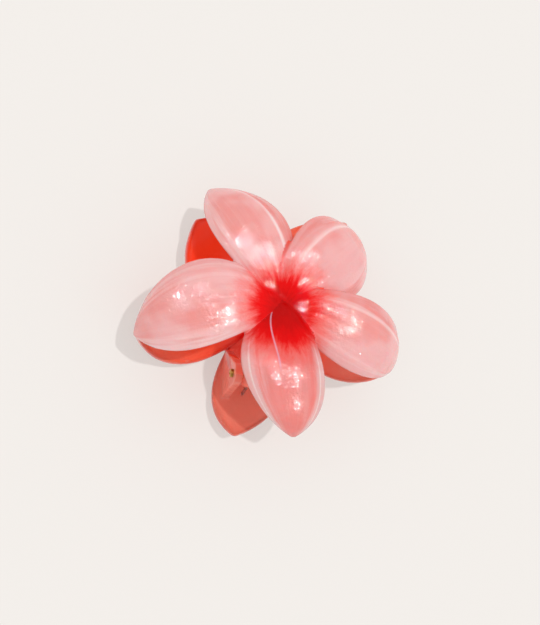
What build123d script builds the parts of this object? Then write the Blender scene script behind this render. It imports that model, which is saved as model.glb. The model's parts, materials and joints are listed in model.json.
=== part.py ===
from build123d import *
import os
from math import acos, atan2, cos, degrees, pi, radians, sin

os.makedirs("parts", exist_ok=True)

# A hair clip made of two flower mouldings on one hinge pin, closed by a torsion spring.
# The hinge axis runs along X. The jaw petals point to +Y and the two handle petals to -Y.
# The clip lies on its rear flower, so the front flower's face looks up, to +Z.

# Hinge axis, above the surface and behind the middle of the clip's footprint, and the angle that
# the closed clip leans forward by when its rear flower lies flat
HINGE_Y = -18.1
HINGE_Z = 16.7
LEAN = 3.1

# Flower: its centre, seen from the hinge axis, and the tilt that spreads the handles
FLOWER_REACH = 21.7
FLOWER_RISE = 8.8
FLOWER_TILT = -3.4

# Petal: one shape, which each petal varies a little
PETAL_LENGTH = 44.1
PETAL_HALF_WIDTH = 11.0
PETAL_THICKNESS = 2.8
EDGE_SHARE = 0.62
TIP_SHARE = 0.35
BASE_RISE = 21.6
TIP_FALL = 62.4
CURL_POWER = 1.8
WIDEST_POWER = 1.12
BASE_FULLNESS = 0.57
TIP_FULLNESS = 0.76
CUPPING = 0.19
SIDE_SWEEP = 6.3
BASE_TWIST = 11.9
TWIST_CHANGE = -19.2
SPINE_STEPS = 48
SECTION_PLACES = [0.06, 0.14, 0.24, 0.36, 0.5, 0.64, 0.77, 0.87, 0.94, 0.98, 0.996]
SECTION_STOPS = [-0.94, -0.5, 0.0, 0.5, 0.94]

# Each petal: direction, extra length, extra fall at the tip, extra half width, extra twist,
# extra side sweep
PETALS = {
    "upper_left": (113.7, -2.3, -8.5, -0.2, -5.3, 2.4),
    "upper_right": (44.1, -5.6, -3.2, 2.4, 12.8, -6.3),
    "right": (-20.8, 5.4, 16.8, -0.3, 7.4, -4.4),
    "handle": (-95.9, -2.9, -10.1, 1.3, -0.7, 4.2),
    "left": (186.1, 3.5, 7.2, 1.4, -7.3, 3.3),
}

# Centre of the flower: a shallow dish that joins the petals
HUB_RADIUS = 5.6
HUB_THICKNESS = 2.3
HUB_RIM_RISE = 0.7
FUSE_TOLERANCE = 0.005

# Hinge: each half has an outer lug on one side and an inner lug on the other
PIN_RADIUS = 1.25
PIN_LENGTH = 22.6
PIN_DIMPLE_RADIUS = 0.7
PIN_DIMPLE_DEPTH = 0.4
RUNNING_CLEARANCE = 0.06
LUG_RADIUS = 3.5
LUG_THICKNESS = 2.5
OUTER_LUG_INSIDE = 8.0
INNER_LUG_INSIDE = 5.0
LUG_ROOT_RISE = 13.4
LUG_ROOT_BACK = -6.0
LUG_ROOT_FRONT = 9.5

# Torsion spring: a coil between the inner lugs, with a leg to the inside of each handle
WIRE_RADIUS = 0.5
COIL_RADIUS = 2.35
COIL_LENGTH = 5.6
COIL_WHOLE_TURNS = 4
LEG_END_BACK = -5.0
LEG_END_RISE = 12.8


hinge_centre = Vector(0, HINGE_Y, HINGE_Z)
pin_axis = Axis(hinge_centre, (1, 0, 0))
flower_plane = Plane(
    hinge_centre + Vector(0, FLOWER_REACH, FLOWER_RISE),
    x_dir=(1, 0, 0),
    z_dir=(0, -sin(radians(FLOWER_TILT)), cos(radians(FLOWER_TILT))),
)
hub_plane = Plane(flower_plane.origin, x_dir=flower_plane.x_dir, z_dir=-flower_plane.y_dir)


def spine(length, fall):
    """Points along a petal's middle line: distance out, height and slope, from base to tip."""
    rise = radians(BASE_RISE)
    drop = radians(fall)
    step = length / SPINE_STEPS
    out, height = 0.0, 0.0
    points = [(out, height, rise)]
    for number in range(1, SPINE_STEPS + 1):
        slope = rise - (rise + drop) * (number / SPINE_STEPS) ** CURL_POWER
        middle = (slope + points[-1][2]) / 2
        out += step * cos(middle)
        height += step * sin(middle)
        points.append((out, height, slope))
    return points


def on_spine(points, place):
    """The spine's distance out, height and slope at a place between its base, 0, and tip, 1."""
    position = place * SPINE_STEPS
    low = min(int(position), SPINE_STEPS - 1)
    share = position - low
    return [a + (b - a) * share for a, b in zip(points[low], points[low + 1])]


def half_width(place, widest):
    """Half the petal's width at a place along it."""
    fullness = BASE_FULLNESS + (TIP_FULLNESS - BASE_FULLNESS) * place
    return widest * sin(pi * place**WIDEST_POWER) ** fullness


def section_outline(width, twist):
    """Upper and lower points of a petal's cross-section, cupped and twisted about the spine."""
    upper, lower = [], []
    turn = radians(twist)
    for stop in SECTION_STOPS:
        across = stop * width
        middle = -CUPPING * stop**2 * width
        half = PETAL_THICKNESS / 2 * (1 - (1 - EDGE_SHARE) * stop**2)
        half *= min(1, TIP_SHARE + width / PETAL_HALF_WIDTH)
        for side, row in ((half, upper), (-half, lower)):
            up = middle + side
            row.append((across * cos(turn) - up * sin(turn), across * sin(turn) + up * cos(turn)))
    return upper, lower


def section_edge(upper_point, lower_point, bulge):
    """The point halfway round a cross-section's rounded edge."""
    middle_x = (upper_point[0] + lower_point[0]) / 2
    middle_y = (upper_point[1] + lower_point[1]) / 2
    along_x = upper_point[1] - lower_point[1]
    along_y = lower_point[0] - upper_point[0]
    return (middle_x + bulge * along_x / 2, middle_y + bulge * along_y / 2)


def petal_sections(direction, length, fall, widest, twist, sweep):
    """A petal's cross-sections, from its base to its tip."""
    points = spine(length, fall)
    sections = []
    for place in SECTION_PLACES:
        out, height, slope = on_spine(points, place)
        swept = sweep * place**2
        heading = radians(direction)
        radial = Vector(cos(heading), sin(heading), 0)
        sideways = Vector(-sin(heading), cos(heading), 0)
        local = radial * out + sideways * swept + Vector(0, 0, height)
        along = radial * cos(slope) + Vector(0, 0, sin(slope))
        plane = Plane(
            origin=flower_plane.from_local_coords(local),
            x_dir=flower_plane.from_local_coords(sideways) - flower_plane.origin,
            z_dir=flower_plane.from_local_coords(along) - flower_plane.origin,
        )
        width = half_width(place, widest)
        upper, lower = section_outline(width, twist + TWIST_CHANGE * place)
        with BuildSketch(plane) as section:
            with BuildLine():
                Spline(*upper)
                ThreePointArc(upper[-1], section_edge(upper[-1], lower[-1], 1), lower[-1])
                Spline(*reversed(lower))
                ThreePointArc(lower[0], section_edge(upper[0], lower[0], -1), upper[0])
            make_face()
        sections.append(section.sketch)
    return sections


def lug_plane(across):
    """The upright plane square to the pin, at a distance across the clip from its middle."""
    return Plane(hinge_centre + Vector(across, 0, 0), x_dir=(0, 1, 0), z_dir=(1, 0, 0))


def flower():
    """Five petals joined at the centre by a shallow dish."""
    with BuildPart() as hub:
        with BuildSketch(hub_plane):
            with BuildLine():
                Polyline(
                    (0, -HUB_THICKNESS / 2),
                    (HUB_RADIUS, HUB_RIM_RISE - HUB_THICKNESS / 2),
                    (HUB_RADIUS, HUB_RIM_RISE + HUB_THICKNESS / 2),
                    (0, HUB_THICKNESS / 2),
                    close=True,
                )
            make_face()
        revolve(axis=Axis(flower_plane.origin, flower_plane.z_dir))
    petals = []
    for direction, more_length, more_fall, more_width, more_twist, more_sweep in PETALS.values():
        sections = petal_sections(
            direction,
            PETAL_LENGTH + more_length,
            TIP_FALL + more_fall,
            PETAL_HALF_WIDTH + more_width,
            BASE_TWIST + more_twist,
            SIDE_SWEEP + more_sweep,
        )
        with BuildPart() as petal:
            loft(sections)
        petals.append(petal.part.solid())
    return hub.part.solid().fuse(*petals, tol=FUSE_TOLERANCE)


def flower_half(bore_radius):
    """One moulding: the flower, with an outer lug on one side and an inner lug on the other."""
    with BuildPart() as half:
        add(flower())
        for side, inside in ((1, OUTER_LUG_INSIDE), (-1, INNER_LUG_INSIDE)):
            with BuildSketch(lug_plane(side * inside)):
                with BuildLine():
                    Line((LUG_ROOT_BACK, LUG_ROOT_RISE), (LUG_ROOT_FRONT, LUG_ROOT_RISE))
                    CenterArc((0, 0), LUG_RADIUS, 0, 360)
                make_hull()
            extrude(amount=side * LUG_THICKNESS)
        with BuildSketch(lug_plane(-PIN_LENGTH)):
            Circle(bore_radius)
        extrude(amount=2 * PIN_LENGTH, mode=Mode.SUBTRACT)
    return half.part


# Each half is modelled with the clip level and then leaned forward about the pin.
front = flower_half(PIN_RADIUS + RUNNING_CLEARANCE).rotate(pin_axis, -LEAN)
front.label = "front_flower_half"
export_step(front, "parts/front_flower_half.step")

with BuildPart() as rear_flower_half:
    turned_over = flower_half(PIN_RADIUS).rotate(Axis(hinge_centre, (0, 1, 0)), 180)
    add(turned_over.rotate(pin_axis, -LEAN))
rear_flower_half.part.label = "rear_flower_half"
export_step(rear_flower_half.part, "parts/rear_flower_half.step")

with BuildPart() as hinge_pin:
    with BuildSketch(lug_plane(-PIN_LENGTH / 2)):
        Circle(PIN_RADIUS)
    extrude(amount=PIN_LENGTH)
    for side in (-1, 1):
        with BuildSketch(lug_plane(side * PIN_LENGTH / 2)):
            Circle(PIN_DIMPLE_RADIUS)
        extrude(amount=-side * PIN_DIMPLE_DEPTH, mode=Mode.SUBTRACT)
hinge_pin.part.label = "hinge_pin"
export_step(hinge_pin.part, "parts/hinge_pin.step")

# Each leg leaves the coil along its tangent and ends against the inside of a handle.
leg_reach = (LEG_END_BACK**2 + LEG_END_RISE**2) ** 0.5
leg_length = (leg_reach**2 - COIL_RADIUS**2) ** 0.5
leg_direction = degrees(atan2(LEG_END_RISE, LEG_END_BACK))
leave_angle = leg_direction - degrees(acos(COIL_RADIUS / leg_reach))
coil_turns = COIL_WHOLE_TURNS + 2 * leave_angle / 360
coil_pitch = COIL_LENGTH / coil_turns

# A helix along X starts straight above its axis, so it is turned back to where the rear leg leaves.
coil_start = hinge_centre - Vector(COIL_LENGTH / 2, 0, 0)
coil = Helix(coil_pitch, COIL_LENGTH, COIL_RADIUS, coil_start, (1, 0, 0))
coil = coil.rotate(pin_axis, -90 - leave_angle - LEAN)
with BuildPart() as torsion_spring:
    with BuildSketch(Plane(coil @ 0, z_dir=coil % 0)):
        Circle(WIRE_RADIUS)
    sweep(path=coil, is_frenet=True)
    for end, way in ((0, -1), (1, 1)):
        with BuildSketch(Plane(coil @ end, z_dir=(coil % end) * way)):
            Circle(WIRE_RADIUS)
        extrude(amount=leg_length)
torsion_spring.part.label = "torsion_spring"
export_step(torsion_spring.part, "parts/torsion_spring.step")
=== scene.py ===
"""A flower hair clip: two pearly jelly-plastic flowers on a brass hinge pin, with a steel torsion spring."""

import json
import math

import bpy
import numpy as np
from mathutils import Matrix, Vector, geometry, kdtree


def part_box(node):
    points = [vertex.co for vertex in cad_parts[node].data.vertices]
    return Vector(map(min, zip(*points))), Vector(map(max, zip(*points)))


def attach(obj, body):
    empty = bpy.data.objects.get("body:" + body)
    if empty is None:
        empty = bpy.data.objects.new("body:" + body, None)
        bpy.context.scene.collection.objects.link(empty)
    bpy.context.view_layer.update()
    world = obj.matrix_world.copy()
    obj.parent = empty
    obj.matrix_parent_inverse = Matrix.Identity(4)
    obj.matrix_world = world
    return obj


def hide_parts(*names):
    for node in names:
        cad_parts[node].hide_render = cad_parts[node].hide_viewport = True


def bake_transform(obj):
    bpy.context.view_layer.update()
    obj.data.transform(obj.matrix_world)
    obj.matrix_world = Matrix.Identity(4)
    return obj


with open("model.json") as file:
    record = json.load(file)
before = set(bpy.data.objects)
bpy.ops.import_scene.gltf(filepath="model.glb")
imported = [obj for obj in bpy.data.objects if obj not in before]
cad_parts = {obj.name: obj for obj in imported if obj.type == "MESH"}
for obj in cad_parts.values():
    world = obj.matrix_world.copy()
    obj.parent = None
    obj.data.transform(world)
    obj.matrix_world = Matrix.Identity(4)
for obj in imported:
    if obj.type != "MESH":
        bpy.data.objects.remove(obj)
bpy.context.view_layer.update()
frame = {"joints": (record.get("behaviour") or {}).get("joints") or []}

MM = 0.001

# The clip's own axes: x along the hinge pin, y from the handles to the jaw tips, z out of the front flower
HINGE = np.array(frame["joints"][0]["pos_m"])
LEAN = math.radians(3.1)
CLIP_X = np.array((1.0, 0.0, 0.0))
CLIP_Y = np.array((0.0, math.cos(LEAN), -math.sin(LEAN)))
CLIP_Z = np.array((0.0, math.sin(LEAN), math.cos(LEAN)))
CLIP_AXES = np.array([CLIP_X, CLIP_Y, CLIP_Z])

# Flower: its centre, seen from the hinge axis, and its tilt back from the clip's own plane
FLOWER_REACH = 21.7 * MM
FLOWER_RISE = 8.8 * MM
FLOWER_TILT = math.radians(-3.4)
FACE_LEAN = LEAN - FLOWER_TILT

# Petal: one shape, which each petal varies a little
PETAL_LENGTH = 44.1 * MM
PETAL_HALF_WIDTH = 11.0 * MM
PETAL_THICKNESS = 2.8 * MM
EDGE_SHARE = 0.62
TIP_SHARE = 0.35
BASE_RISE = 21.6
TIP_FALL = 62.4
CURL_POWER = 1.8
WIDEST_POWER = 1.12
BASE_FULLNESS = 0.57
TIP_FULLNESS = 0.76
CUPPING = 0.19
SHOULDER_SHARE = 0.5
SHOULDER_POWER = 6
SIDE_SWEEP = 6.3 * MM
BASE_TWIST = 11.9
TWIST_CHANGE = -19.2
SPINE_STEPS = 400
FIRST_PLACE = 0.05
LAST_PLACE = 0.997
LAST_STOP = 0.94

# Each petal: direction, extra length in mm, extra fall at the tip, extra half width in mm, extra twist,
# extra side sweep in mm
PETALS = {
    "upper_left": (113.7, -2.3, -8.5, -0.2, -5.3, 2.4),
    "upper_right": (44.1, -5.6, -3.2, 2.4, 12.8, -6.3),
    "right": (-20.8, 5.4, 16.8, -0.3, 7.4, -4.4),
    "handle": (-95.9, -2.9, -10.1, 1.3, -0.7, 4.2),
    "left": (186.1, 3.5, 7.2, 1.4, -7.3, 3.3),
}

# The side that each petal turns down beyond a crease, and how strongly: 1 is its left, seen from its base,
# and -1 its right
TURNED_SIDES = {
    "upper_left": (-1, 1.0),
    "upper_right": (1, 0.8),
    "right": (1, 0.5),
    "handle": (0, 0.0),
    "left": (-1, 0.35),
}
TURN_START = 0.58
TURN_DOWN = 0.55 * MM

# Relief on the outer face: a midrib groove that fades out along the petal, a soft crease inside each edge,
# and faint flutes near the base
MIDRIB_DEPTH = 0.32 * MM
MIDRIB_WIDTH = 0.045
MIDRIB_END = 0.62
CREASE_HEIGHT = 0.22 * MM
CREASE_PLACE = 0.74
CREASE_WIDTH = 0.07
FLUTE_DEPTH = 0.07 * MM
FLUTE_COUNT = 9

# Centre of the flower: a dish, whose faces close in small rings of this share of its radius
HUB_CLOSING_SHARE = 0.02
HUB_RADIUS = 5.6 * MM
HUB_THICKNESS = 2.3 * MM
HUB_RIM_RISE = 0.7 * MM

# Lugs and pin
LUG_RADIUS = 3.5 * MM
LUG_THICKNESS = 2.5 * MM
LUG_INSIDES = {1: 8.0 * MM, -1: 5.0 * MM}
LUG_ROOT_RISE = 13.4 * MM
LUG_ROOT_ENDS = (-6.0 * MM, 9.5 * MM)
LUG_SKIN = 0.2 * MM
FRONT_BORE_RADIUS = 1.31 * MM
REAR_BORE_RADIUS = 1.25 * MM
CUTTER_REACH = 30.0 * MM

# Surface fineness
VOXEL = 0.36 * MM
SMOOTHING_PASSES = 6
SMOOTHING_SHARE = 0.5
PLACES_ALONG = 110
STOPS_ACROSS = 44
EDGE_STEPS = 10
ROUND_STEPS = 64

# Samples of every petal, from which each vertex finds its place
SAMPLES_ALONG = 120
SAMPLES_ACROSS = 61
FIRST_SAMPLE = 0.03
NUDGE = 1e-3
MOST_STEP_ALONG = 0.02
MOST_STEP_ACROSS = 0.3
LEAST_DIVISOR = 1e-12
LEAST_SQUARED_WIDTH = 1e-9

# A vertex's layer is 1 on its petal's outer face, -1 on the inner one, and the lowest of all on a lug
HIGHEST_LAYER = 1.5
INNER_LAYER = -0.85
LUG_LAYER = -1.5


# ---------------------------------------------------------------- places and meshes


def from_clip(points):
    """Row-frame places of points given along the clip's axes from the hinge."""
    return HINGE + np.asarray(points) @ CLIP_AXES


FLOWER_CENTRE = from_clip((0.0, FLOWER_REACH, FLOWER_RISE))
FLOWER_AXES = np.array(
    [
        (1.0, 0.0, 0.0),
        (0.0, math.cos(FACE_LEAN), -math.sin(FACE_LEAN)),
        (0.0, math.sin(FACE_LEAN), math.cos(FACE_LEAN)),
    ]
)
TURN_OVER = (
    Matrix.Translation(Vector(HINGE))
    @ Matrix.Rotation(math.pi, 4, Vector(CLIP_Y))
    @ Matrix.Translation(-Vector(HINGE))
)


def from_flower(points):
    """Row-frame places of points given along the front flower's axes from its centre."""
    return FLOWER_CENTRE + np.asarray(points) @ FLOWER_AXES


def mesh_object(name, vertices, faces):
    """A mesh object from a list of places and a list of faces."""
    mesh = bpy.data.meshes.new(name)
    mesh.from_pydata([tuple(v) for v in vertices], [], [tuple(f) for f in faces])
    mesh.validate()
    mesh.update()
    thing = bpy.data.objects.new(name, mesh)
    bpy.context.scene.collection.objects.link(thing)
    return thing


def loft(name, rings):
    """A closed mesh through rings of equally many points, capped at both ends."""
    count, around = len(rings), len(rings[0])
    faces = []
    for row in range(count - 1):
        for column in range(around):
            after = (column + 1) % around
            low, high = row * around, (row + 1) * around
            faces.append((low + column, low + after, high + after, high + column))
    faces.append(tuple(reversed(range(around))))
    faces.append(tuple((count - 1) * around + column for column in range(around)))
    thing = mesh_object(name, np.concatenate(rings), faces)
    face_outwards(thing)
    return thing


def select_only(thing):
    bpy.ops.object.select_all(action="DESELECT")
    thing.select_set(True)
    bpy.context.view_layer.objects.active = thing


def face_outwards(thing):
    """Turns every face of a closed mesh to look outwards."""
    select_only(thing)
    bpy.ops.object.mode_set(mode="EDIT")
    bpy.ops.mesh.select_all(action="SELECT")
    bpy.ops.mesh.normals_make_consistent(inside=False)
    bpy.ops.object.mode_set(mode="OBJECT")


def join(name, things):
    """One object made of several."""
    bpy.ops.object.select_all(action="DESELECT")
    for thing in things:
        thing.select_set(True)
    bpy.context.view_layer.objects.active = things[0]
    bpy.ops.object.join()
    things[0].name = name
    things[0].data.name = name
    return things[0]


def apply_modifier(thing, kind, **settings):
    modifier = thing.modifiers.new(kind.lower(), kind)
    for key, value in settings.items():
        setattr(modifier, key, value)
    select_only(thing)
    bpy.ops.object.modifier_apply(modifier=modifier.name)


def shade_smooth(thing):
    thing.data.polygons.foreach_set("use_smooth", [True] * len(thing.data.polygons))
    thing.data.update()


def vertex_places(thing):
    places = np.empty(len(thing.data.vertices) * 3)
    thing.data.vertices.foreach_get("co", places)
    return places.reshape(-1, 3)


# ---------------------------------------------------------------- petals


def spine(length, fall):
    """A petal's middle line at equal steps: distance out, height and slope."""
    share = np.linspace(0.0, 1.0, SPINE_STEPS + 1)
    rise, drop = math.radians(BASE_RISE), math.radians(fall)
    slope = rise - (rise + drop) * share**CURL_POWER
    middle = (slope[1:] + slope[:-1]) / 2
    step = length / SPINE_STEPS
    out = np.concatenate([[0.0], np.cumsum(step * np.cos(middle))])
    height = np.concatenate([[0.0], np.cumsum(step * np.sin(middle))])
    return share, out, height, slope


def half_width(place, widest):
    """Half the petal's width at a place along it."""
    fullness = BASE_FULLNESS + (TIP_FULLNESS - BASE_FULLNESS) * place
    return widest * np.sin(np.pi * place**WIDEST_POWER) ** fullness


def relief(place, stop):
    """How far the outer face stands proud of the plain petal: its midrib, creases and flutes."""
    fade = np.clip((MIDRIB_END - place) / MIDRIB_END, 0.0, 1.0)
    groove = -MIDRIB_DEPTH * np.sqrt(fade) * np.exp(-((stop / MIDRIB_WIDTH) ** 2))
    along = np.sin(np.pi * np.clip(place, 0.0, 1.0)) ** 0.5
    crease = CREASE_HEIGHT * along * np.exp(-(((np.abs(stop) - CREASE_PLACE) / CREASE_WIDTH) ** 2))
    flute = FLUTE_DEPTH * along * fade * np.cos(FLUTE_COUNT * np.pi * stop)
    return groove + crease + flute


class Petal:
    """One petal's surfaces, in the front flower's own axes."""

    def __init__(self, direction, more_length, more_fall, more_width, more_twist, more_sweep, turned):
        heading = math.radians(direction)
        self.radial = np.array((math.cos(heading), math.sin(heading), 0.0))
        self.sideways = np.array((-math.sin(heading), math.cos(heading), 0.0))
        self.line = spine(PETAL_LENGTH + more_length * MM, TIP_FALL + more_fall)
        self.widest = PETAL_HALF_WIDTH + more_width * MM
        self.twist = BASE_TWIST + more_twist
        self.sweep = SIDE_SWEEP + more_sweep * MM
        self.turned_side, self.turned_share = turned

    def section(self, place, stop, layer, proud=0.0):
        """A point at a place along the petal, a stop across it, and a layer: 1 outer face, -1 inner face."""
        width = half_width(place, self.widest)
        bend = (1 - SHOULDER_SHARE) * stop**2 + SHOULDER_SHARE * np.abs(stop) ** SHOULDER_POWER
        half = PETAL_THICKNESS / 2 * (1 - (1 - EDGE_SHARE) * stop**2)
        half = half * np.minimum(1.0, TIP_SHARE + width / PETAL_HALF_WIDTH)
        across, up = stop * width, -CUPPING * bend * width + layer * half + proud
        return self.place(place, across, up)

    def place(self, place, across, up):
        """Flower-axis points of section coordinates at a place along the petal."""
        share, out, height, slope = self.line
        turn = np.radians(self.twist + TWIST_CHANGE * place)
        side = across * np.cos(turn) - up * np.sin(turn)
        rise = across * np.sin(turn) + up * np.cos(turn)
        lean = np.interp(place, share, slope)
        outward = np.interp(place, share, out) - rise * np.sin(lean)
        upward = np.interp(place, share, height) + rise * np.cos(lean)
        aside = self.sweep * place**2 + side
        return (
            outward[..., None] * self.radial
            + aside[..., None] * self.sideways
            + upward[..., None] * np.array((0.0, 0.0, 1.0))
        )

    def ring(self, place):
        """The closed cross-section at one place: outer face, rounded edge, inner face, rounded edge."""
        stops = np.linspace(-LAST_STOP, LAST_STOP, STOPS_ACROSS + 1)
        along = np.full_like(stops, place)
        turned = np.clip((self.turned_side * stops - TURN_START) / (1 - TURN_START), 0.0, 1.0)
        proud = relief(along, stops) - self.turned_share * TURN_DOWN * turned
        upper = self.section(along, stops, 1.0, proud)
        lower = self.section(along[::-1], stops[::-1], -1.0)
        left_edge = self.edge(place, upper[-1], lower[0])
        right_edge = self.edge(place, lower[-1], upper[0])
        return np.concatenate([upper, left_edge, lower, right_edge])

    def edge(self, place, start, end):
        """Points round a half circle that bulges away from the petal's middle."""
        share, _, _, slope = self.line
        lean = np.interp(place, share, slope)
        forward = self.radial * math.cos(lean) + np.array((0.0, 0.0, math.sin(lean)))
        middle, radius = (start + end) / 2, (start - end) / 2
        angle = (np.arange(1, EDGE_STEPS) / EDGE_STEPS * np.pi)[:, None]
        return middle + radius * np.cos(angle) + np.cross(radius, forward) * np.sin(angle)

    def shell(self, name):
        """The petal as a closed mesh."""
        places = FIRST_PLACE + (LAST_PLACE - FIRST_PLACE) * np.sin(np.linspace(0, np.pi / 2, PLACES_ALONG))
        return loft(name, [from_flower(self.ring(place)) for place in places])


PETAL_SHAPES = [Petal(*values, TURNED_SIDES[name]) for name, values in PETALS.items()]


# ---------------------------------------------------------------- flowers


def hub():
    """The shallow dish that joins the petals."""
    half = HUB_THICKNESS / 2
    angles = np.linspace(0, 2 * np.pi, ROUND_STEPS, endpoint=False)
    circle = np.stack([np.cos(angles), np.sin(angles)], axis=1)
    profile = [
        (HUB_CLOSING_SHARE, half),
        (1.0, HUB_RIM_RISE + half),
        (1.0, HUB_RIM_RISE - half),
        (HUB_CLOSING_SHARE, -half),
    ]
    rings = []
    for share, height in profile:
        flat = circle * share * HUB_RADIUS
        rings.append(from_flower(np.column_stack([flat, np.full(ROUND_STEPS, height)])))
    return loft("hub", rings)


def lug(side):
    """One hinge lug: an eye round the pin, widening to its root under the petals."""
    angles = np.linspace(0, 2 * np.pi, ROUND_STEPS, endpoint=False)
    outline = [Vector((LUG_RADIUS * math.cos(a), LUG_RADIUS * math.sin(a))) for a in angles]
    outline += [Vector((end, LUG_ROOT_RISE)) for end in LUG_ROOT_ENDS]
    outline = [outline[i] for i in geometry.convex_hull_2d(outline)]
    rings = []
    for depth in (0.0, LUG_THICKNESS):
        across = side * (LUG_INSIDES[side] + depth)
        rings.append(from_clip([(across, p.x, p.y) for p in outline]))
    return loft("lug", rings)


def rod(name, radius, low, high):
    """A plain cylinder along the pin's axis, for cutting the bores."""
    angles = np.linspace(0, 2 * np.pi, ROUND_STEPS, endpoint=False)
    rings = []
    for across in (low, high):
        rings.append(from_clip([(across, radius * math.cos(a), radius * math.sin(a)) for a in angles]))
    return loft(name, rings)


def petal_samples():
    """Places on every petal's middle surface, with their petal number, place, stop and tangents."""
    along_steps = np.linspace(FIRST_SAMPLE, 1.0, SAMPLES_ALONG)
    across_steps = np.linspace(-1.0, 1.0, SAMPLES_ACROSS)
    places, stops = (grid.ravel() for grid in np.meshgrid(along_steps, across_steps, indexing="ij"))
    samples = []
    for number, petal in enumerate(PETAL_SHAPES):
        middle = petal.section(places, stops, 0.0)
        along = (petal.section(np.minimum(places + NUDGE, 1.0), stops, 0.0) - middle) / NUDGE
        across = (petal.section(places, stops + NUDGE, 0.0) - middle) / NUDGE
        samples.append((middle, along, across, np.full(len(places), float(number)), places, stops))
    return [np.concatenate(column) for column in zip(*samples)]


def in_lug(points):
    """Which row-frame points of the front flower lie in or on one of its lugs."""
    across, back, rise = ((points - HINGE) @ CLIP_AXES.T).T
    inside = np.zeros(len(points), bool)
    for side, start in LUG_INSIDES.items():
        inside |= (side * across > start - LUG_SKIN) & (side * across < start + LUG_THICKNESS + LUG_SKIN)
    inside &= (back > LUG_ROOT_ENDS[0] - LUG_SKIN) & (back < LUG_ROOT_ENDS[1] + LUG_SKIN)
    return inside & (rise < LUG_ROOT_RISE + LUG_SKIN)


def by_row(first, second):
    """The dot product of each row of one array with the same row of another."""
    return np.einsum("ij,ij->i", first, second)


def note_petal_places(thing):
    """Stores on each vertex where it is on its petal and in the flower, and how near its petal's crease."""
    vertices = vertex_places(thing)
    local = (vertices - FLOWER_CENTRE) @ FLOWER_AXES.T
    middle, along, across, number, places, stops = petal_samples()
    tree = kdtree.KDTree(len(middle))
    for index, place in enumerate(middle):
        tree.insert(place, index)
    tree.balance()
    nearest = np.array([tree.find(place)[1] for place in local])
    offset = local - middle[nearest]
    along, across = along[nearest], across[nearest]
    step_along = by_row(offset, along) / np.maximum(by_row(along, along), LEAST_DIVISOR)
    step_across = by_row(offset, across) / np.maximum(by_row(across, across), LEAST_SQUARED_WIDTH)
    outward = np.cross(along, across)
    outward /= np.maximum(np.linalg.norm(outward, axis=1, keepdims=True), LEAST_DIVISOR)
    layer = by_row(offset, outward) / (PETAL_THICKNESS / 2)
    layer[in_lug(vertices) & (layer < INNER_LAYER)] = LUG_LAYER
    petal = np.column_stack(
        [
            places[nearest] + np.clip(step_along, -MOST_STEP_ALONG, MOST_STEP_ALONG),
            stops[nearest] + np.clip(step_across, -MOST_STEP_ACROSS, MOST_STEP_ACROSS),
            np.clip(layer, LUG_LAYER, HIGHEST_LAYER),
        ]
    )
    flower = np.column_stack([local[:, :2] / MM, number[nearest]])
    side, share = np.array(list(TURNED_SIDES.values()))[number[nearest].astype(int)].T
    turned = np.column_stack([side * petal[:, 1], share, np.zeros(len(share))])
    for name, values in (("petal", petal), ("flower", flower), ("turned", turned)):
        stored = thing.data.attributes.new(name, "FLOAT_VECTOR", "POINT")
        stored.data.foreach_set("vector", values.astype(np.float32).ravel())


def build_blank():
    """A flower with its lugs as one smooth skin, before its bore is cut."""
    things = [petal.shell("petal") for petal in PETAL_SHAPES]
    things += [hub(), lug(1), lug(-1)]
    blank = join("blank", things)
    apply_modifier(blank, "REMESH", mode="VOXEL", voxel_size=VOXEL)
    apply_modifier(blank, "SMOOTH", factor=SMOOTHING_SHARE, iterations=SMOOTHING_PASSES)
    return blank


def build_flower(name, blank, bore_radius):
    """A flower in the front half's place, with its bore cut."""
    flower = bpy.data.objects.new(name, blank.data.copy())
    flower.data.name = name
    bpy.context.scene.collection.objects.link(flower)
    cutter = rod("cutter", bore_radius, -CUTTER_REACH, CUTTER_REACH)
    apply_modifier(flower, "BOOLEAN", operation="DIFFERENCE", object=cutter, solver="EXACT")
    bpy.data.objects.remove(cutter)
    note_petal_places(flower)
    shade_smooth(flower)
    return flower


blank = build_blank()
front_flower = build_flower("front_flower", blank, FRONT_BORE_RADIUS)
rear_flower = build_flower("rear_flower", blank, REAR_BORE_RADIUS)
rear_flower.data.transform(TURN_OVER)
bpy.data.objects.remove(blank)


# ---------------------------------------------------------------- pin and spring


PIN_BEVEL = 0.18 * MM
PIN_DIMPLE_RADIUS = 0.7 * MM
PIN_DIMPLE_DEPTH = 0.4 * MM
WIRE_RADIUS = 0.5 * MM
COIL_RADIUS = 2.35 * MM
COIL_LENGTH = 5.6 * MM
COIL_WHOLE_TURNS = 4
WIRE_END_SHARE = 0.6
WIRE_ROUND_STEPS = 20
COIL_STEPS_PER_TURN = 56
LEG_STEPS = 24

# Where the front leg ends, along the clip's y and z from the pin; the rear leg mirrors it below
LEG_END = (-5.0 * MM, 12.8 * MM)


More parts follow.
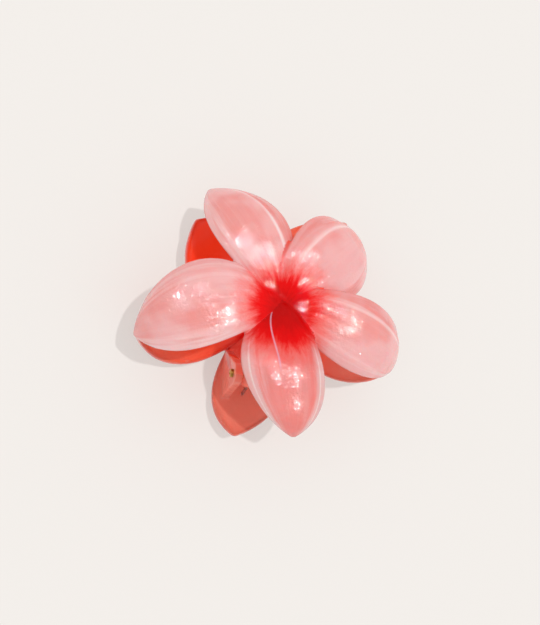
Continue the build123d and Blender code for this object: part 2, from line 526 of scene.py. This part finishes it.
def build_pin():
    """The hinge pin: bevelled ends, each with the dimple that a punch leaves."""
    low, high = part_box("hinge_pin")
    radius = (high.z - low.z) / 2
    profile = [
        (0.02 * MM, PIN_DIMPLE_DEPTH),
        (0.5 * PIN_DIMPLE_RADIUS, 0.85 * PIN_DIMPLE_DEPTH),
        (0.85 * PIN_DIMPLE_RADIUS, 0.4 * PIN_DIMPLE_DEPTH),
        (PIN_DIMPLE_RADIUS, 0.12 * PIN_DIMPLE_DEPTH),
        (1.12 * PIN_DIMPLE_RADIUS, 0.0),
        (radius - PIN_BEVEL, 0.0),
        (radius - 0.3 * PIN_BEVEL, 0.3 * PIN_BEVEL),
        (radius, PIN_BEVEL),
    ]
    stations = [(low.x + depth, reach) for reach, depth in profile]
    stations += [(high.x - depth, reach) for reach, depth in reversed(profile)]
    angles = np.linspace(0, 2 * np.pi, ROUND_STEPS, endpoint=False)
    rings = []
    for across, reach in stations:
        rings.append(from_clip([(across, reach * math.cos(a), reach * math.sin(a)) for a in angles]))
    pin = loft("brass_pin", rings)
    shade_smooth(pin)
    return pin


def spring_line():
    """Points along the spring's wire, in the clip's axes: rear leg, coil, front leg."""
    back, rise = LEG_END
    reach = math.hypot(back, rise)
    leg_length = math.sqrt(reach**2 - COIL_RADIUS**2)
    leave = math.atan2(rise, back) - math.acos(COIL_RADIUS / reach)
    turn = 2 * math.pi * COIL_WHOLE_TURNS + 2 * leave
    steps = int(COIL_STEPS_PER_TURN * turn / (2 * math.pi))
    share = np.linspace(0.0, 1.0, steps + 1)
    angle = -leave + turn * share
    coil = np.column_stack(
        [COIL_LENGTH * (share - 0.5), COIL_RADIUS * np.cos(angle), COIL_RADIUS * np.sin(angle)]
    )
    run = np.linspace(1.0, 0.0, LEG_STEPS + 1)[:-1, None] * leg_length
    start_way, end_way = coil[0] - coil[1], coil[-1] - coil[-2]
    rear_leg = coil[0] + run * start_way / np.linalg.norm(start_way)
    front_leg = coil[-1] + run[::-1] * end_way / np.linalg.norm(end_way)
    return np.concatenate([rear_leg, coil, front_leg])


def build_spring():
    """The torsion spring: round wire along its line, a little narrower at its ends."""
    line = from_clip(spring_line())
    tangents = np.gradient(line, axis=0)
    tangents /= np.linalg.norm(tangents, axis=1, keepdims=True)
    normal = np.cross(tangents[0], CLIP_X)
    normal /= np.linalg.norm(normal)
    angles = np.linspace(0, 2 * np.pi, WIRE_ROUND_STEPS, endpoint=False)
    rings = []
    for index, (place, tangent) in enumerate(zip(line, tangents)):
        normal = normal - tangent * np.dot(normal, tangent)
        normal /= np.linalg.norm(normal)
        other = np.cross(tangent, normal)
        reach = WIRE_RADIUS * (WIRE_END_SHARE if index in (0, len(line) - 1) else 1.0)
        rings.append(place + reach * (np.outer(np.cos(angles), normal) + np.outer(np.sin(angles), other)))
    spring = loft("steel_spring", rings)
    shade_smooth(spring)
    return spring


brass_pin = build_pin()
steel_spring = build_spring()


# ---------------------------------------------------------------- materials


def srgb(red, green, blue):
    """A linear colour, with alpha, from a screen colour of 0 to 255."""
    channels = []
    for value in (red, green, blue):
        share = value / 255
        channels.append(share / 12.92 if share <= 0.04045 else ((share + 0.055) / 1.055) ** 2.4)
    return (*channels, 1.0)


class Nodes:
    """A material's node tree, with short ways to add the nodes used here."""

    def __init__(self, name):
        self.material = bpy.data.materials.new(name)
        self.material.use_nodes = True
        self.tree = self.material.node_tree
        self.shader = self.tree.nodes["Principled BSDF"]

    def link(self, value, socket):
        """Feeds a socket from another, or sets it to a plain value."""
        if isinstance(value, bpy.types.NodeSocket):
            self.tree.links.new(value, socket)
        else:
            socket.default_value = value

    def set(self, **sockets):
        """Sets the shader's sockets by name, with _ for a space."""
        for name, value in sockets.items():
            self.link(value, self.shader.inputs[name.replace("_", " ")])

    def attribute(self, name):
        node = self.tree.nodes.new("ShaderNodeAttribute")
        node.attribute_name = name
        return node.outputs["Vector"]

    def place(self):
        return self.tree.nodes.new("ShaderNodeTexCoord").outputs["Object"]

    def split(self, vector):
        node = self.tree.nodes.new("ShaderNodeSeparateXYZ")
        self.link(vector, node.inputs[0])
        return node.outputs[0], node.outputs[1], node.outputs[2]

    def vector(self, x, y, z):
        node = self.tree.nodes.new("ShaderNodeCombineXYZ")
        for value, socket in zip((x, y, z), node.inputs):
            self.link(value, socket)
        return node.outputs[0]

    def math(self, operation, first, second=0.0):
        node = self.tree.nodes.new("ShaderNodeMath")
        node.operation = operation
        self.link(first, node.inputs[0])
        self.link(second, node.inputs[1])
        return node.outputs[0]

    def spread(self, value, low, high, new_low=0.0, new_high=1.0):
        """A value eased from one span to another, and held at its ends."""
        node = self.tree.nodes.new("ShaderNodeMapRange")
        node.interpolation_type = "SMOOTHSTEP"
        for number, part in enumerate((value, low, high, new_low, new_high)):
            self.link(part, node.inputs[number])
        return node.outputs[0]

    def times(self, *values):
        """The product of two or more values."""
        product = values[0]
        for value in values[1:]:
            product = self.math("MULTIPLY", product, value)
        return product

    def apart(self, first, second):
        """How far apart two values are."""
        return self.math("ABSOLUTE", self.math("SUBTRACT", first, second))

    def noise(self, vector, scale, detail=2.0, roughness=0.5, distortion=0.0):
        node = self.tree.nodes.new("ShaderNodeTexNoise")
        self.link(vector, node.inputs["Vector"])
        node.inputs["Scale"].default_value = scale
        node.inputs["Detail"].default_value = detail
        node.inputs["Roughness"].default_value = roughness
        node.inputs["Distortion"].default_value = distortion
        return node.outputs["Fac"]

    def mix(self, share, first, second):
        node = self.tree.nodes.new("ShaderNodeMix")
        node.data_type = "RGBA"
        self.link(share, node.inputs[0])
        self.link(first, node.inputs[6])
        self.link(second, node.inputs[7])
        return node.outputs[2]

    def bump(self, height, strength, distance):
        node = self.tree.nodes.new("ShaderNodeBump")
        self.link(height, node.inputs["Height"])
        node.inputs["Strength"].default_value = strength
        node.inputs["Distance"].default_value = distance
        self.link(node.outputs[0], self.shader.inputs["Normal"])


# Flower colours
PEARL = srgb(246, 216, 216)
PINK = srgb(240, 187, 187)
CORAL = srgb(236, 152, 146)
SALMON = srgb(248, 136, 130)
EDGE_CORAL = srgb(226, 98, 90)
# Painted highlight colour, for the bright lines along the creases and the handle's rim
HIGHLIGHT_WHITE = srgb(255, 246, 246)
# Painted shade on the jaw petals' turned-down sides
TURNED_SHADE_CORAL = srgb(228, 128, 122)
# Painted highlight along the handle's fold
FOLD_HIGHLIGHT_VIOLET = srgb(238, 208, 232)
# Deep orange of the inner faces near their base, also used as painted shade on the upper right petal's inner
# face
INNER_ORANGE = srgb(248, 58, 4)
INNER_CORAL = srgb(236, 112, 84)
INNER_PINK = srgb(232, 136, 116)
LUG_PINK = srgb(234, 140, 124)
RED = srgb(240, 0, 2)
DEEP_RED = srgb(214, 0, 0)
WARM_CORAL = srgb(255, 92, 84)

# A painted glow on the inner faces, standing in for light that the clear plastic carries to them, as a share
# of their colour
PAINTED_INNER_GLOW = 0.14

# How clear the plastic is, and how strong the gloss coat over it, on the handle and elsewhere
CLEARNESS = 0.16
HANDLE_CLEARNESS = 0.36
COAT = 0.3
HANDLE_COAT = 0.06

# Ripples in the moulded surface, and the span of its roughness
RIPPLE_HEIGHT = 0.4 * MM
RIPPLE_STRENGTH = 0.65
FINE_RIPPLE_SHARE = 0.5
SMOOTHEST = 0.035
ROUGHEST = 0.08

# Streaks: how close together they lie across a petal and along it, and how far apart each petal's are
STREAK_ACROSS = 2.6
STREAK_ALONG = 0.7
STREAK_SHIFT = 5.3

# The red centre's middle lies this many mm from the flower's, towards the handle
RED_DROP = 3.2

# The red centre's colours: how far out in mm each is gone, how far out it is full, and its strength
RED_RINGS = ((WARM_CORAL, 19.0, 8.5, 0.85), (RED, 12.5, 7.2, 1.0), (DEEP_RED, 7.5, 2.0, 1.0))

# How many mm its rays carry the red, and how many mm further it runs down the handle
RAY_REACH = 9.0
HANDLE_REACH = 2.5

# Places across a petal, as shares of its half width
TURNED_CREASE = 0.56
RIM_START = 0.66
RIM_FULL = 0.78
RIM_LINE = 0.83
EDGE_START = 0.94
EDGE_FULL = 1.03

# The painted highlight along the handle's fold: its place across the petal at its base end and at its far
# end
FOLD_BASE = -0.44
FOLD_END = -0.14

BLACK = (0.0, 0.0, 0.0, 1.0)


class FlowerPlastic(Nodes):
    """Pearly pink jelly plastic over a coral inside, with a red centre that bleeds out in streaks."""

    def __init__(self, name):
        super().__init__(name)
        self.along, self.across, self.layer = self.split(self.attribute("petal"))
        self.side_x, self.side_y, self.number = self.split(self.attribute("flower"))
        self.from_middle = self.math("ABSOLUTE", self.across)
        self.on_handle = self.on_petal("handle")
        self.streak_place = self.vector(
            self.times(self.across, STREAK_ACROSS),
            self.times(self.along, STREAK_ALONG),
            self.times(self.number, STREAK_SHIFT),
        )
        inside = self.inside()
        skin = self.pearly_skin()
        skin = self.add_turned_shade_and_highlight(skin)
        skin = self.add_rim(skin)
        skin = self.mix(self.spread(self.layer, -0.35, 0.55), inside, skin)
        skin = self.mix(self.spread(self.layer, -1.2, -1.45), skin, LUG_PINK)
        skin = self.add_red_centre(skin)
        skin = self.add_fold_highlight(skin)
        self.add_ripples()
        self.set(
            Base_Color=skin,
            # The inner faces glow in their own colour: painted light, standing in for light carried through
            # the clear plastic
            Emission_Color=self.mix(self.spread(self.layer, -0.3, -0.8), BLACK, inside),
            Emission_Strength=PAINTED_INNER_GLOW,
            Roughness=self.spread(self.noise(self.place(), 700.0, 3.0, 0.6), 0.3, 0.75, SMOOTHEST, ROUGHEST),
            IOR=1.49,
            Subsurface_Weight=0.6,
            Subsurface_Radius=(1.0, 0.35, 0.26),
            Subsurface_Scale=0.0030,
            Transmission_Weight=self.elsewhere_or_handle(CLEARNESS, HANDLE_CLEARNESS),
            Coat_Weight=self.elsewhere_or_handle(COAT, HANDLE_COAT),
            Coat_Roughness=0.03,
            Coat_IOR=1.5,
            Specular_IOR_Level=0.4,
        )

    def on_petal(self, name):
        """1 on one petal and 0 on the others."""
        return self.spread(self.apart(self.number, list(PETALS).index(name)), 0.4, 0.1)

    def elsewhere_or_handle(self, elsewhere, handle):
        """One value on the handle and another on the other petals."""
        return self.math("ADD", self.times(self.on_handle, handle - elsewhere), elsewhere)

    def pearly_skin(self):
        """Coral clouds deep in the plastic, under streaks of pearl from the centre and along the edges."""
        clouds = self.noise(self.place(), 85.0, 2.0, 0.5)
        skin = self.mix(self.spread(clouds, 0.40, 0.62, 0.1, 0.85), PINK, CORAL)
        salmon = self.times(self.on_handle, self.spread(self.from_middle, 0.86, RIM_START, 0.0, 0.7))
        skin = self.mix(salmon, skin, SALMON)
        wide_streaks = self.spread(self.noise(self.streak_place, 1.7, 3.0, 0.55, 0.5), 0.42, 0.62)
        fine_streaks = self.spread(self.noise(self.streak_place, 7.0, 2.0, 0.6, 0.4), 0.45, 0.75)
        streaks = self.math("ADD", self.times(wide_streaks, 0.65), self.times(fine_streaks, 0.3))
        near_edge = self.spread(self.from_middle, 0.35, 0.85, 0.15, 1.0)
        near_base = self.spread(self.along, 0.55, 0.2, 0.0, 0.8)
        pearl = self.times(streaks, self.math("MAXIMUM", near_edge, near_base))
        return self.mix(self.math("MINIMUM", self.math("ADD", pearl, 0.08), 0.85), skin, PEARL)

    def add_turned_shade_and_highlight(self, skin):
        """Beyond its crease each jaw petal's turned side gets a painted shade of coral, and the crease a
        painted highlight.
        """
        turned, share, _ = self.split(self.attribute("turned"))
        fade = self.times(self.spread(self.along, 0.12, 0.3), share)
        # Painted shade of coral on the turned-down side beyond the crease
        skin = self.mix(self.times(self.spread(turned, 0.57, 0.7, 0.0, 0.55), fade), skin, TURNED_SHADE_CORAL)
        # A painted highlight along the crease, broken up by noise
        line = self.spread(self.apart(turned, TURNED_CREASE), 0.07, 0.01, 0.0, 0.6)
        broken = self.spread(self.noise(self.streak_place, 3.0), 0.35, 0.6, 0.3, 1.0)
        return self.mix(self.times(line, fade, broken), skin, HIGHLIGHT_WHITE)

    def add_rim(self, skin):
        """The handle has a pearly rim with a painted highlight line in it, and every petal's edge is coral.
        """
        rim = self.times(self.spread(self.from_middle, RIM_START, RIM_FULL), self.on_handle, 0.6)
        skin = self.mix(rim, skin, PEARL)
        # A painted highlight line along the handle's rim
        line = self.spread(self.apart(self.from_middle, RIM_LINE), 0.03, 0.005)
        skin = self.mix(self.times(line, self.on_handle, 0.8), skin, HIGHLIGHT_WHITE)
        return self.mix(self.spread(self.from_middle, EDGE_START, EDGE_FULL, 0.0, 0.75), skin, EDGE_CORAL)

    def inside(self):
        """The inner faces are plainer and deeper, with painted shade on the upper right petal's inner face.
        """
        clouds = self.noise(self.place(), 55.0, 1.0, 0.5)
        inside = self.mix(self.spread(clouds, 0.35, 0.65), INNER_CORAL, INNER_PINK)
        near_base = self.spread(self.along, 0.75, 0.25, 0.0, 0.7)
        # Deep orange near the base; on the upper right petal the orange is painted shade, tinted as by light
        # through the front petals over it
        deeper_and_shaded = self.math("MAXIMUM", near_base, self.times(self.on_petal("upper_right"), 0.85))
        inside = self.mix(deeper_and_shaded, inside, INNER_ORANGE)
        return self.mix(self.times(self.on_handle, 0.8), inside, INNER_PINK)

    def add_red_centre(self, skin):
        """The red centre bleeds out along radial streaks, and furthest down the handle."""
        side_y = self.math("ADD", self.side_y, RED_DROP)
        square = self.math("ADD", self.times(self.side_x, self.side_x), self.times(side_y, side_y))
        radius = self.math("SQRT", square)
        near = self.math("MAXIMUM", radius, 0.4)
        heading = (self.math("DIVIDE", self.side_x, near), self.math("DIVIDE", side_y, near))
        rays = self.noise(self.vector(*heading, self.times(radius, 0.03)), 6.0, 4.0, 0.7)
        reach = self.math("SUBTRACT", radius, self.times(self.math("SUBTRACT", rays, 0.5), RAY_REACH))
        reach = self.math("SUBTRACT", reach, self.times(self.on_handle, HANDLE_REACH))
        for colour, gone, full, strength in RED_RINGS:
            skin = self.mix(self.spread(reach, gone, full, 0.0, strength), skin, colour)
        return skin

    def add_fold_highlight(self, skin):
        """A painted highlight along a fold runs down the handle from the red centre."""
        middle = self.spread(self.along, 0.12, 0.55, FOLD_BASE, FOLD_END)
        line = self.spread(self.apart(self.across, middle), 0.035, 0.008)
        fade = self.spread(self.along, 0.58, 0.48)
        outer = self.spread(self.layer, 0.3, 0.8, 0.0, 0.65)
        # The painted highlight along the fold, on the handle's outer face
        return self.mix(self.times(line, fade, self.on_handle, outer), skin, FOLD_HIGHLIGHT_VIOLET)

    def add_ripples(self):
        """Slow waves of the moulding, with finer ripples that break up the highlights."""
        waves = self.noise(self.place(), 240.0, 2.0, 0.5, 0.3)
        ripples = self.noise(self.place(), 1000.0, 2.0, 0.6)
        height = self.math("ADD", waves, self.times(ripples, FINE_RIPPLE_SHARE))
        self.bump(height, RIPPLE_STRENGTH, RIPPLE_HEIGHT)


# Metals: their colours, bright and tarnished, and their grain
BRASS = srgb(214, 170, 92)
DARK_BRASS = srgb(150, 104, 46)
STEEL = srgb(196, 198, 202)
DARK_STEEL = srgb(140, 142, 148)
GRAIN_HEIGHT = 0.03 * MM
GRAIN_STRENGTH = 0.25
GRAIN_ROUGHNESS = 0.16


def metal(name, light, dark, shine, grain_scale, stretch):
    """Metal with fine grain, drawn out along the pin's axis by a stretch under 1, and a little tarnish."""
    made = Nodes(name)
    x, y, z = made.split(made.place())
    drawn = made.vector(made.times(x, stretch), y, z)
    grain = made.noise(drawn, grain_scale, 3.0, 0.6)
    tarnish = made.noise(made.place(), 900.0, 3.0, 0.6)
    colour = made.mix(made.spread(tarnish, 0.4, 0.7), light, dark)
    made.bump(grain, GRAIN_STRENGTH, GRAIN_HEIGHT)
    roughness = made.spread(grain, 0.3, 0.7, shine, shine + GRAIN_ROUGHNESS)
    made.set(Base_Color=colour, Metallic=1.0, Roughness=roughness)
    return made.material


def put_material(thing, material):
    thing.data.materials.clear()
    thing.data.materials.append(material)


put_material(front_flower, FlowerPlastic("front_pearl_plastic").material)
put_material(rear_flower, FlowerPlastic("rear_pearl_plastic").material)
drawn_brass = metal("drawn_brass", BRASS, DARK_BRASS, shine=0.22, grain_scale=2600.0, stretch=0.2)
spring_steel = metal("spring_steel", STEEL, DARK_STEEL, shine=0.2, grain_scale=3000.0, stretch=1.0)
put_material(brass_pin, drawn_brass)
put_material(steel_spring, spring_steel)


# ---------------------------------------------------------------- what stands for what

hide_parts("front_flower_half")
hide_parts("rear_flower_half")
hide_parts("hinge_pin")
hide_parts("torsion_spring")
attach(front_flower, "front")
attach(rear_flower, "rear")
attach(brass_pin, "rear")
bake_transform(steel_spring)


# ---------------------------------------------------------------- floor, light and camera

FLOOR_COLOUR = srgb(244, 240, 236)
FLOOR_SIZE = 6.0
FLOOR_GLOW = 0.456
FLOOR_REFLECTION = 0.46
FLOOR_ROUGHNESS = 0.9
FILL_COLOUR = (1.0, 0.99, 0.975, 1.0)
FILL_STRENGTH = 0.79
MIRRORED_FILL_STRENGTH = 0.2
KEY_STRENGTH = 1.25
KEY_ANGLE = 1.6
KEY_FROM = Vector((0.15, 0.08, 1.0))
SOFTBOX_DISTANCE = 0.5

# Each softbox: its name, the way to it from the flower, its size in m and its power in W
SOFTBOXES = (
    ("window", (0.4, 0.1, 1.0), (0.01, 0.016), 0.6),
    ("front", (0.62, -0.55, 1.0), (0.008, 0.014), 0.45),
    ("near", (-0.1, 0.3, 1.0), (0.008, 0.018), 0.26),
    ("side", (-0.66, 0.22, 1.0), (0.01, 0.02), 0.4),
)


def build_floor():
    """A plain pale floor, which glows a little so that the shade under the clip stays light."""
    half = FLOOR_SIZE / 2
    corners = [(-half, -half, 0.0), (half, -half, 0.0), (half, half, 0.0), (-half, half, 0.0)]
    floor = mesh_object("floor", corners, [(0, 1, 2, 3)])
    made = Nodes("pale_floor")
    glow = tuple(channel * FLOOR_GLOW for channel in FLOOR_COLOUR[:3])
    made.set(
        Base_Color=(*(channel * FLOOR_REFLECTION for channel in FLOOR_COLOUR[:3]), 1.0),
        Roughness=FLOOR_ROUGHNESS,
        Specular_IOR_Level=0.0,
        Emission_Color=(*glow, 1.0),
        Emission_Strength=1.0,
    )
    floor.data.materials.append(made.material)


def build_fill():
    """Even light from all round, which the gloss mirrors only faintly, as if dark flags stood round it."""
    world = bpy.data.worlds.new("studio")
    world.use_nodes = True
    nodes, links = world.node_tree.nodes, world.node_tree.links
    background = nodes["Background"]
    background.inputs["Color"].default_value = FILL_COLOUR
    rays = nodes.new("ShaderNodeLightPath")
    strength = nodes.new("ShaderNodeMapRange")
    strength.inputs["To Min"].default_value = FILL_STRENGTH
    strength.inputs["To Max"].default_value = MIRRORED_FILL_STRENGTH
    links.new(rays.outputs["Is Glossy Ray"], strength.inputs["Value"])
    links.new(strength.outputs["Result"], background.inputs["Strength"])
    bpy.context.scene.world = world


def build_key():
    """A small high light, which throws the clip's crisp pale shadow."""
    lamp = bpy.data.lights.new("key", "SUN")
    lamp.energy = KEY_STRENGTH
    lamp.angle = math.radians(KEY_ANGLE)
    thing = bpy.data.objects.new("key", lamp)
    thing.rotation_mode = "QUATERNION"
    thing.rotation_quaternion = KEY_FROM.to_track_quat("Z", "Y")
    thing.visible_glossy = False
    bpy.context.scene.collection.objects.link(thing)


def build_softbox(name, way, size, power):
    """A small softbox that looks at the flower, for the bright spots on the petals' crests."""
    lamp = bpy.data.lights.new(name, "AREA")
    lamp.shape = "RECTANGLE"
    lamp.size, lamp.size_y = size
    lamp.energy = power
    thing = bpy.data.objects.new(name, lamp)
    thing.visible_diffuse = thing.visible_transmission = thing.visible_volume_scatter = False
    way = Vector(way).normalized()
    thing.location = Vector(FLOWER_CENTRE) + way * SOFTBOX_DISTANCE
    thing.rotation_mode = "QUATERNION"
    thing.rotation_quaternion = way.to_track_quat("Z", "Y")
    bpy.context.scene.collection.objects.link(thing)


CAMERA_YAW = math.radians(15.66)
CAMERA_PITCH = math.radians(-13.01)
CAMERA_ROLL = math.radians(-4.42)
CAMERA_DISTANCE = 0.24704
CAMERA_LENS = 47.37
LOOKED_AT = (-0.00066, 0.0196, 0.0)
SENSOR = 36.0


def build_camera():
    """The camera nearly straight above the front flower."""
    turn = Matrix.Rotation(CAMERA_ROLL, 3, "Z")
    turn @= Matrix.Rotation(CAMERA_PITCH, 3, "X")
    turn @= Matrix.Rotation(CAMERA_YAW, 3, "Y")
    right, up, back = (Vector(np.array(row) @ CLIP_AXES) for row in turn)
    camera = bpy.data.objects.new("camera", bpy.data.cameras.new("camera"))
    camera.data.sensor_width = SENSOR
    camera.data.lens = CAMERA_LENS
    camera.data.clip_start = 0.01
    camera.data.clip_end = 20.0
    camera.rotation_mode = "QUATERNION"
    camera.rotation_quaternion = Matrix((right, up, back)).transposed().to_quaternion()
    camera.location = Vector(from_clip(LOOKED_AT)) + back * CAMERA_DISTANCE
    bpy.context.scene.collection.objects.link(camera)
    bpy.context.scene.camera = camera


build_floor()
build_fill()
build_key()
for name, way, size, power in SOFTBOXES:
    build_softbox(name, way, size, power)
build_camera()
bpy.context.scene.view_settings.view_transform = "Standard"
